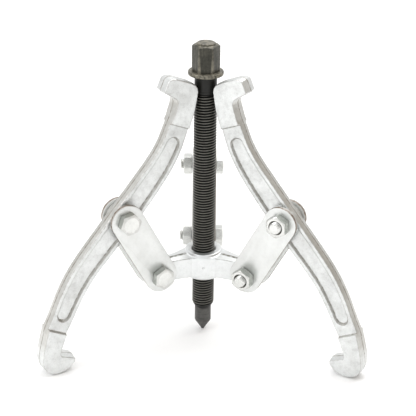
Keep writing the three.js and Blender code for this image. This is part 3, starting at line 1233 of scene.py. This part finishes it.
@dataclass
class Yoke(Forging):
    """The forged yoke: three eyes on arms round a threaded hub."""

    # A wide parting band: besides the parting line, it paints a dark reflection along the arms'
    # tops.
    parting_half: float = 0.8 * MM
    reach: float = 39.1 * MM
    arm_half_height: float = 8.5 * MM
    eye_half: float = 5.7 * MM
    arm_draft: float = 0.9 * MM
    hub_radius: float = 14.5 * MM
    hub_above: float = 9.6 * MM
    hub_below: float = 10.5 * MM
    hub_bevel: float = 1.2 * MM
    boss_radius: float = 13.4 * MM
    boss_bevel: float = 0.4 * MM
    boss_sink: float = 0.48 * MM
    web_radius: float = 46 * MM
    bore_radius: float = 8.3 * MM
    mouth: float = 1.0 * MM
    hole_radius: float = 4.3 * MM
    dimple_radius: float = 1.3 * MM
    dimple_depth: float = 0.6 * MM
    eye_steps: int = 18
    web_steps: int = 20
    crease: float = 50.0

    def arm_outline(self) -> list[Point]:
        """One arm from the screw's axis to its round end."""
        h = self.arm_half_height
        return [(0, -h), *arc((self.reach, 0), h, -90, 90, self.eye_steps), (0, h)]

    def web(self) -> bpy.types.Object:
        """Fills the corners between neighbouring arms with concave fillets.

        Each fillet's circle touches both arms' sides, with its centre halfway between the arms,
        which stand 120 degrees apart.

        Returns:
            The closed body.
        """
        sixty = math.sin(math.radians(60))
        middle = self.eye_half / sixty + self.web_radius / sixty
        outline = []
        for k in range(len(Side)):
            toward = 30 + 120 * k
            a = math.radians(toward)
            centre = (middle * math.cos(a), middle * math.sin(a))
            outline += arc(centre, self.web_radius, toward + 210, toward + 150, self.web_steps)
        h = self.arm_half_height - self.arm_draft
        return set_down(prism("web", outline, -h, h), UP_TO_Y)

    def hub(self) -> bpy.types.Object:
        """Turns the hub with its raised boss, before it is bored.

        Returns:
            The closed body.
        """
        r, top, foot, b = self.hub_radius, self.hub_above, -self.hub_below, self.hub_bevel
        boss, edge, ledge = self.boss_radius, self.boss_bevel, self.arm_half_height
        step = ledge - self.boss_sink
        profile = [
            (0, foot), (r - b, foot), (r, foot + b), (r, ledge - b), (r - b / 2, step),
            (boss, step), (boss, top - edge), (boss - edge, top), (0, top),
        ]
        return turned("hub", profile, Round.MEDIUM)

    def bore(self) -> bpy.types.Object:
        """Turns the cutter for the screw's hole and its two countersinks.

        Returns:
            The closed body.
        """
        r, m = self.bore_radius, self.mouth
        wide, top, foot = r + 2 * m, self.hub_above, -self.hub_below
        profile = [
            (0, foot - m), (wide, foot - m), (r, foot + m), (r, top - m), (wide, top + m),
            (0, top + m),
        ]
        return turned("bore", profile, Round.MEDIUM)

    def dimple(self, front: float) -> bpy.types.Object:
        """Makes the cutter for the small round mark in the hub's front.

        Args:
            front: the front's place along Y.

        Returns:
            The closed body.
        """
        put_down()
        depth = self.dimple_radius - self.dimple_depth
        bpy.ops.mesh.primitive_uv_sphere_add(
            segments=24, ring_count=16, radius=self.dimple_radius, location=(0, front - depth, 0)
        )
        return set_down(named("dimple"), Matrix.Identity(4))

    def build(self, arms: Sequence[Arm]) -> None:
        """Models the yoke and sets it down on the pivots' height.

        Args:
            arms: where the arms stand.
        """
        body = self.hub()
        combine(body, Join.ADD, self.web())
        for arm in arms:
            spoke = forging("spoke", self.arm_outline(), self.eye_half, self.arm_draft)
            combine(body, Join.ADD, set_down(spoke, arm.turn))
        self.soften(body)
        self.mark_flanks(body, [arm.turn.inverted() for arm in arms], self.hub_radius)
        combine(body, Join.CUT, self.bore(), self.dimple(-self.hub_radius))
        for arm in arms:
            hole = pin("hole", self.hole_radius, -self.hub_radius, self.hub_radius, (self.reach, 0))
            combine(body, Join.CUT, set_down(hole, arm.turn))
        body.name = body.data.name = "forged_yoke"
        set_down(body, Matrix.Translation((0, 0, arms[0].yoke_pivot[1])))
        smooth(body, self.crease)
        stand_in(body, "yoke", "hub", ZINC_ON_YOKE.material())


# ---------------------------------------------------------------- links and hardware


@dataclass
class LinkPlates:
    """The pressed plates, two to an arm, one on each side of its eyes."""

    half_width: float = 12 * MM
    thickness: float = 3 * MM
    inner_face: float = 6 * MM
    hole_radius: float = 4.3 * MM
    rolled_edge: float = 0.3 * MM
    sheared_band: float = 0.9 * MM
    edge_cuts: Point = (0.55, 0.7)
    flank_lean: Point = (0.55, 0.75)
    end_steps: int = 28
    crease: float = 40.0
    rolled_from: float = 50.0

    def model(self, arm: Arm) -> bpy.types.Object:
        """Models one plate at rest, on the arm's +Y side.

        Args:
            arm: the arm whose pivots it joins.

        Returns:
            The finished plate.
        """
        (x0, z0), (x1, z1) = arm.yoke_pivot, arm.jaw_pivot
        lean = math.degrees(math.atan2(z1 - z0, x1 - x0))
        outline = [
            *arc(arm.jaw_pivot, self.half_width, lean - 90, lean + 90, self.end_steps),
            *arc(arm.yoke_pivot, self.half_width, lean + 90, lean + 270, self.end_steps),
        ]
        low, high = self.inner_face, self.inner_face + self.thickness
        plate = prism("plate", outline, low, high)
        for share in self.edge_cuts:
            with editing(plate, "EDGE"):
                bpy.ops.mesh.select_all(action="SELECT")
                cut = (0, low + share * self.thickness, 0)
                bpy.ops.mesh.bisect(plane_co=cut, plane_no=(0, 1, 0))
        for pivot in (arm.yoke_pivot, arm.jaw_pivot):
            hole = pin("hole", self.hole_radius, low - self.thickness, high + self.thickness, pivot)
            combine(plate, Join.CUT, hole)
        finish_with(
            plate, "BEVEL", width=self.rolled_edge, segments=3, limit_method="ANGLE",
            angle_limit=math.radians(self.rolled_from),
        )
        places, headings = readings(plate)
        # The side walls, for the finish's painted shade.
        flank = fade(np.abs(headings[:, 1]), *self.flank_lean)
        mark(plate, "flank", flank)
        # The sheared break away from the outer face, darkened: partly its real duller break, partly
        # painted shade.
        mark(plate, "line", flank * (np.abs(places[:, 1] - high) > self.sheared_band))
        smooth(plate, self.crease)
        return plate

    def build(self, arms: Sequence[Arm]) -> None:
        """Models one plate and sets two copies down on every arm.

        Args:
            arms: where the arms stand.
        """
        material = ZINC_ON_LINKS.material()
        master = self.model(arms[0])
        other_face = Matrix.Translation((0, -2 * self.inner_face - self.thickness, 0))
        for arm in arms:
            side = arm.side.value
            for letter, across in (("a", Matrix.Identity(4)), ("b", other_face)):
                piece = again(master, f"pressed_link_{side}_{letter}", arm.turn @ across)
                stand_in(piece, f"link_{side}_{letter}", f"links_{side}", material)
        bpy.data.objects.remove(master)


@dataclass
class PivotHardware:
    """The M8 bolts and nuts that the links turn on, with their axes along Y.

    A lean is how much of a face's normal points along the axis. The turns are the angles that
    each pivot's bolt and nut were left at.
    """

    across_flats: float = 14 * MM
    head_height: float = 5.3 * MM
    nut_height: float = 6.5 * MM
    seat: float = 9.3 * MM
    stub: float = 2.5 * MM
    thread_radius: float = 4 * MM
    pitch: float = 1.25 * MM
    shank_radius: float = 3.9 * MM
    corner_round: float = 0.3 * MM
    chamfer: float = 0.75 * MM
    head_chamfer_radius: float = 5.5 * MM
    nut_chamfer_radius: float = 6.8 * MM
    nut_hole_radius: float = 4.1 * MM
    countersink: float = 1.1 * MM
    flat_lean: float = 0.35
    face_lean: float = 0.985
    chamfer_shade: float = 0.2
    hollow_reach: float = 5.0 * MM
    hollow_inset: float = 0.2 * MM
    groove_radius: float = 3.65 * MM
    crease: float = 35.0
    turns: dict[tuple[Side, Pivot], Point] = field(default_factory=lambda: {
        (Side.LEFT, Pivot.YOKE): (57, 40), (Side.LEFT, Pivot.JAW): (40, 5),
        (Side.RIGHT, Pivot.YOKE): (20, 56), (Side.RIGHT, Pivot.JAW): (8, 58),
        (Side.REAR, Pivot.YOKE): (26, 12), (Side.REAR, Pivot.JAW): (50, 30),
    })

    def hexagon(self, name: str, low: float, high: float, both: bool) -> bpy.types.Object:
        """A hexagon along Y with its corners rounded and its outer rims chamfered.

        Args:
            name: the object's name.
            low: where it starts along Y.
            high: where it ends.
            both: whether the rim at low is chamfered too.

        Returns:
            The closed body.
        """
        body = hex_bar(name, self.across_flats, low, high, self.corner_round)
        wide, step = self.across_flats / math.sqrt(3) + CLEAR, self.chamfer
        rim = self.nut_chamfer_radius if both else self.head_chamfer_radius
        profile = [(0, low), (rim if both else wide, low)]
        if both:
            profile.append((wide, low + step))
        profile += [(wide, high - step), (rim, high), (0, high)]
        cone = turned("cone", profile, Round.LARGE)
        return combine(body, Join.KEEP, set_down(cone, UP_TO_Y))

    def bolt(self) -> bpy.types.Object:
        """Models the bolt, with its head on the +Y side and its thread through the nut.

        Returns:
            The finished bolt.
        """
        end = self.seat + self.nut_height + self.stub
        body = self.hexagon("bolt", self.seat, self.seat + self.head_height, False)
        shank = pin("shank", self.shank_radius, self.pitch - self.seat, self.seat + self.pitch)
        r, tip, start = self.thread_radius, self.chamfer, self.seat - self.pitch
        thread = threaded("thread", r, self.pitch, start, end, Round.COARSE)
        profile = [(0, 0), (r + tip, 0), (r + tip, end - 2 * tip), (r - tip, end), (0, end)]
        combine(thread, Join.KEEP, turned("keep", profile, Round.COARSE))
        combine(body, Join.ADD, shank, set_down(thread, Y_TO_UP))
        smooth(body, self.crease)
        return body

    def nut(self) -> bpy.types.Object:
        """Models the nut, on the -Y side, with its hole countersunk.

        Returns:
            The finished nut.
        """
        low, high = -self.seat - self.nut_height, -self.seat
        body = self.hexagon("nut", low, high, True)
        r, m = self.nut_hole_radius, self.countersink
        wide = r + 2 * m
        profile = [
            (0, low - m), (wide, low - m), (r, low + m), (r, high - m), (wide, high + m),
            (0, high + m),
        ]
        hole = turned("hole", profile, Round.SMALL)
        combine(body, Join.CUT, set_down(hole, UP_TO_Y))
        smooth(body, self.crease)
        return body

    def mark_sides(self, body: bpy.types.Object, end: float) -> None:
        """Marks the flats for painted shade and dark reflection, and marks the chamfer's edge, the
        hole or shank inside them and the thread's grooves for painted shade.

        Args:
            body: the bolt or the nut.
            end: how far out the marked hole or shank reaches along Y.
        """
        places, headings = readings(body, faces=True)
        out = np.hypot(places[:, 0], places[:, 2])
        lean = np.abs(headings[:, 1])
        upright = lean < self.flat_lean
        hexagonal = out > self.thread_radius + self.countersink
        # The flats, for painted shade and dark reflection.
        mark(body, "flank", hexagonal & upright, faces=True)
        cone = hexagonal & ~upright & (lean < self.face_lean)
        hollow = (out < self.hollow_reach) & (np.abs(places[:, 1]) < end)
        groove = (out < self.groove_radius) & upright
        # Painted shade: a dark line along the chamfer, and darkness in the hole or shank and in the
        # thread's grooves.
        mark(body, "line", self.chamfer_shade * cone + (hollow | groove), faces=True)

    def build(self, arms: Sequence[Arm]) -> None:
        """Models one bolt and one nut and sets copies down on every pivot.

        Args:
            arms: where the arms stand.
        """
        # The rear pieces take the lighter copy, with less painted shade.
        shaded_flanks, light_zinc = ZINC_ON_HARDWARE.material(), ZINC_ON_REAR_HARDWARE.material()
        bolt, nut = self.bolt(), self.nut()
        self.mark_sides(bolt, self.seat)
        self.mark_sides(nut, self.seat + self.nut_height - self.hollow_inset)
        for arm in arms:
            side = arm.side.value
            material = light_zinc if arm.side is Side.REAR else shaded_flanks
            for pivot, (x, z), body in ((Pivot.YOKE, arm.yoke_pivot, "hub"),
                                        (Pivot.JAW, arm.jaw_pivot, f"links_{side}")):
                at = arm.turn @ Matrix.Translation((x, 0, z)) @ Matrix.Rotation(arm.flip, 4, "Z")
                bolt_turn, nut_turn = self.turns[arm.side, pivot]
                for master, turn in ((bolt, bolt_turn), (nut, nut_turn)):
                    node = f"{master.name}_{pivot.value}_{side}"
                    place = at @ Matrix.Rotation(math.radians(turn), 4, "Y")
                    piece = again(master, f"hex_{node}", place)
                    stand_in(piece, node, body, material)
        bpy.data.objects.remove(bolt)
        bpy.data.objects.remove(nut)


# ---------------------------------------------------------------- forcing screw


@dataclass
class ForcingScrew:
    """The M16 x 2 forcing screw with its neck, flange and hex, upright on the axis."""

    radius: float = 8 * MM
    pitch: float = 2 * MM
    spare: float = 0.05 * MM
    pilot_radius: float = 6 * MM
    run_out: float = 3.8 * MM
    groove_depth: float = 1.2 * MM
    last_groove: float = 1.24 * MM
    neck_radius: float = 7.75 * MM
    neck_length: float = 12 * MM
    neck_fillet: float = 0.8 * MM
    flange_radius: float = 12.25 * MM
    flange_height: float = 2.9 * MM
    flange_round: float = 0.9 * MM
    flange_bevel: float = 2.6 * MM
    across_flats: float = 17 * MM
    hex_height: float = 18.6 * MM
    hex_turn: float = 29.0
    hex_round: float = 0.7 * MM
    hex_chamfer: float = 1.5 * MM
    hex_chamfer_run: float = 2.55 * MM
    pad_radius: float = 6.35 * MM
    pad_height: float = 1.0 * MM
    pad_bevel: float = 0.35 * MM
    socket_radius: float = 3.3 * MM
    socket_depth: float = 12.3 * MM
    # Bands where the flange's rim and the hex's top edge are painted lighter, partly as wear and
    # partly as painted highlight; the hex band also sets where the forged head starts, just under
    # the flange.
    rim_flange_band: float = 3 * MM
    rim_hex_band: float = 0.3 * MM
    rim_above_foot: float = 0.1 * MM
    neck_crest: float = 0.3
    crease: float = 28.0

    def shaft(self, start: float, neck_foot: float) -> bpy.types.Object:
        """Cuts the threaded length, tapered where it starts.

        Args:
            start: where it starts.
            neck_foot: where the neck starts.

        Returns:
            The closed body.
        """
        r, top = self.radius + self.spare, neck_foot + self.pitch
        body = threaded("forcing_screw", self.radius, self.pitch, start, top, Round.THREAD)
        full = start + self.run_out
        profile = [(0, start), (self.pilot_radius, start), (r, full), (r, top), (0, top)]
        return combine(body, Join.KEEP, turned("ends", profile, Round.FINE))

    def collar(self, neck_foot: float, flange_foot: float) -> bpy.types.Object:
        """Turns the neck and the flange, with the last groove running out under the neck.

        Args:
            neck_foot: where the neck starts.
            flange_foot: where the flange starts.

        Returns:
            The closed body.
        """
        n, f, b, fillet = self.neck_radius, self.flange_radius, self.flange_round, self.neck_fillet
        top = flange_foot + self.flange_height
        root, start = self.radius - self.last_groove, neck_foot - self.pitch
        profile = [
            (0, start), (root, start), (n, neck_foot),
            (n, flange_foot - fillet), (n + fillet, flange_foot),
            *arc((f - b, flange_foot + b), b, -90, 0, 4), *arc((f - b, top - b), b, 0, 65, 4),
            (f - self.flange_bevel, top), (0, top),
        ]
        return turned("collar", profile, Round.LARGE)

    def drive(self, foot: float) -> bpy.types.Object:
        """Models the hex with its rounded corners, chamfered top and raised pad.

        Args:
            foot: where it starts.

        Returns:
            The closed body.
        """
        corner, sunk = self.across_flats / math.sqrt(3), foot - MM
        top = foot + self.hex_height
        body = hex_bar("drive", self.across_flats, sunk, top, self.hex_round)
        set_down(body, Matrix.Rotation(math.radians(self.hex_turn), 4, "Z") @ Y_TO_UP)
        wide, rim = corner + CLEAR, corner - self.hex_chamfer_run
        profile = [(0, sunk), (wide, sunk), (wide, top - self.hex_chamfer), (rim, top), (0, top)]
        combine(body, Join.KEEP, turned("cone", profile, Round.FINE))
        r, b, low, high = self.pad_radius, self.pad_bevel, top - MM, top + self.pad_height
        profile = [(0, low), (r, low), (r, high - b), (r - b, high), (0, high)]
        return combine(body, Join.ADD, turned("pad", profile, Round.MEDIUM))

    def mark_wear_and_painted_light(self, body: bpy.types.Object, flange_foot: float, foot: float) -> None:
        """Marks the thread's crests, the forged head, and the head's edges that are painted
        lighter, partly as wear and partly as painted highlight.

        Args:
            body: the finished screw.
            flange_foot: where the flange starts.
            foot: where the hex starts.
        """
        places, _ = readings(body)
        out = np.hypot(places[:, 0], places[:, 1])
        high = places[:, 2]
        threads = high < flange_foot - self.neck_length - self.pitch / 2
        crest = 1 - (self.radius - out) / self.groove_depth
        # On the thread this gives painted shade in the grooves and lighter crests; the neck takes a
        # fixed share, which paints it partly with the grooves' shade colour.
        mark(body, "crest", np.where(threads, crest, self.neck_crest))
        mark(body, "raw", high > flange_foot - self.rim_hex_band)
        hex_rim = high > foot + self.hex_height - self.rim_hex_band
        flange_rim = (high < foot + self.rim_above_foot) & (out > self.flange_radius - self.rim_flange_band)
        mark(body, "rim", (high > flange_foot) & (flange_rim | hex_rim))

    def build(self) -> None:
        """Models the screw as one body and sets it down."""
        low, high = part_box("forcing_screw")
        foot = high.z - self.pad_height - self.hex_height
        flange_foot = foot - self.flange_height
        neck_foot = flange_foot - self.neck_length
        body = self.shaft(low.z, neck_foot)
        combine(body, Join.ADD, self.collar(neck_foot, flange_foot), self.drive(foot))
        r, mouth, top = self.socket_radius, low.z - MM, low.z + self.socket_depth
        profile = [(0, mouth), (r, mouth), (r, top), (0, top + r / 2)]
        combine(body, Join.CUT, turned("socket", profile, Round.COARSE))
        body.name = body.data.name = "threaded_screw"
        self.mark_wear_and_painted_light(body, flange_foot, foot)
        smooth(body, self.crease)
        stand_in(body, "forcing_screw", "screw", OXIDE_ON_SCREW.material())


@dataclass
class CentrePoint:
    """The turned point that stays still on the shaft while the screw turns."""

    tip_radius: float = 0.8 * MM
    cone_height: float = 8.3 * MM
    radius: float = 6 * MM
    length: float = 20.2 * MM
    shank_radius: float = 3 * MM
    shank_length: float = 12 * MM
    break_edge: float = 0.25 * MM
    cone_break: float = 0.35 * MM
    crease: float = 20.0

    def build(self) -> None:
        """Turns the point and sets it down."""
        b, r, top = self.break_edge, self.radius, self.length
        profile = [
            (0, 0), (self.tip_radius, 0), (r - b, self.cone_height - self.cone_break),
            (r, self.cone_height + b), (r, top - b), (r - b, top), (self.shank_radius, top),
            (self.shank_radius, top + self.shank_length - b),
            (self.shank_radius - b, top + self.shank_length), (0, top + self.shank_length),
        ]
        body = turned("turned_centre_point", profile, Round.LARGE)
        smooth(body, self.crease)
        stand_in(body, "centre_point", "point", TURNED_POINT.material())


# ---------------------------------------------------------------- studio


@dataclass
class Studio:
    """Camera, pale floor and soft light.

    A softbox has a place, a width in metres and a power in watts. The patch is a part of the
    room that is less white, with the cosines of the angles where it starts and where it is full.
    """

    target: tuple[float, float, float] = (2.79 * MM, 0.0, 99.9 * MM)
    distance: float = 800 * MM
    elevation: float = 25.10
    azimuth: float = -0.30
    roll: float = 0.83
    lens: float = 96.58
    sensor: float = 36.0
    floor_width: float = 24.0
    floor_white: float = 0.97
    near_clip: float = 10 * MM
    softboxes: tuple[tuple[str, tuple[float, float, float], float, float], ...] = (
        ("key", (-0.9, -0.45, 0.75), 0.5, 4.2), ("top", (0.3, 0.4, 1.3), 1.2, 10.5),
    )
    room: Colour = (1.0, 1.0, 1.0)
    patch: Colour = (0.50, 0.44, 0.37)
    patch_aim: tuple[float, float, float] = (0.85, -0.18, 0.48)
    patch_fade: Point = (0.72, 0.93)

    def camera(self) -> None:
        """Sets the camera up at its angle."""
        e, a, r = (math.radians(x) for x in (self.elevation, self.azimuth, self.roll))
        back = Vector((math.sin(a) * math.cos(e), -math.cos(a) * math.cos(e), math.sin(e)))
        right = (-back).cross(Vector((0, 0, 1))).normalized()
        up = right.cross(-back)
        x_axis = right * math.cos(r) + up * math.sin(r)
        y_axis = up * math.cos(r) - right * math.sin(r)
        turn = Matrix((x_axis, y_axis, back)).transposed().to_4x4()
        put_down()
        bpy.ops.object.camera_add()
        camera = bpy.context.view_layer.objects.active
        camera.name = "camera"
        camera.matrix_world = Matrix.Translation(Vector(self.target) + back * self.distance) @ turn
        camera.data.lens = self.lens
        camera.data.sensor_width = self.sensor
        camera.data.clip_start = self.near_clip
        camera.data.clip_end = 2 * self.floor_width
        bpy.context.scene.camera = camera

    def floor(self) -> None:
        """Lays the plain pale floor."""
        put_down()
        bpy.ops.mesh.primitive_plane_add(size=self.floor_width)
        floor = named("floor")
        material, g = new_material("pale_floor")
        white = (self.floor_white, self.floor_white, self.floor_white, 1)
        g.surface({}, {"Base Color": white, "Roughness": 0.9, "Specular IOR Level": 0.1})
        floor.data.materials.append(material)

    def softbox(self, name: str, place: Sequence[float], size: float, power: float) -> None:
        """Hangs one square soft light, facing the tool.

        Args:
            name: the light's name.
            place: where it hangs.
            size: its width.
            power: its power in watts.
        """
        put_down()
        bpy.ops.object.light_add(type="AREA", location=place)
        light = bpy.context.view_layer.objects.active
        light.name = name
        light.data.shape = "SQUARE"
        light.data.size = size
        light.data.energy = power
        aim = Vector(self.target) - Vector(place)
        light.rotation_euler = aim.to_track_quat("-Z", "Y").to_euler()

    def surroundings(self) -> None:
        """Lights the room white, with a greyer and warmer patch on the right."""
        world = bpy.data.worlds.new("studio")
        bpy.context.scene.world = world
        world.use_nodes = True
        g = Graph(world.node_tree)
        way = g.node("ShaderNodeTexCoord", output="Generated")
        aim = tuple(Vector(self.patch_aim).normalized())
        settings = {"operation": "DOT_PRODUCT"}
        toward = g.node("ShaderNodeVectorMath", settings, {0: way, 1: aim}, "Value")
        colour = g.blend(self.room, self.patch, g.ramp(toward, *self.patch_fade))
        back = g.node("ShaderNodeBackground", {}, {"Color": colour, "Strength": 1.0})
        g.node("ShaderNodeOutputWorld", {}, {"Surface": back})

    def build(self) -> None:
        """Sets the studio up."""
        self.camera()
        self.floor()
        self.surroundings()
        for softbox in self.softboxes:
            self.softbox(*softbox)
        bpy.context.scene.view_settings.view_transform = "Standard"


def main() -> None:
    """Builds the studio and every piece."""
    logging.basicConfig(level=logging.INFO, format="%(message)s")
    Studio().build()
    arms = arms_of_frame()
    ForcingScrew().build()
    CentrePoint().build()
    Yoke().build(arms)
    Jaw().build(arms)
    LinkPlates().build(arms)
    PivotHardware().build(arms)
    put_down()


if __name__ == "__main__":
    main()
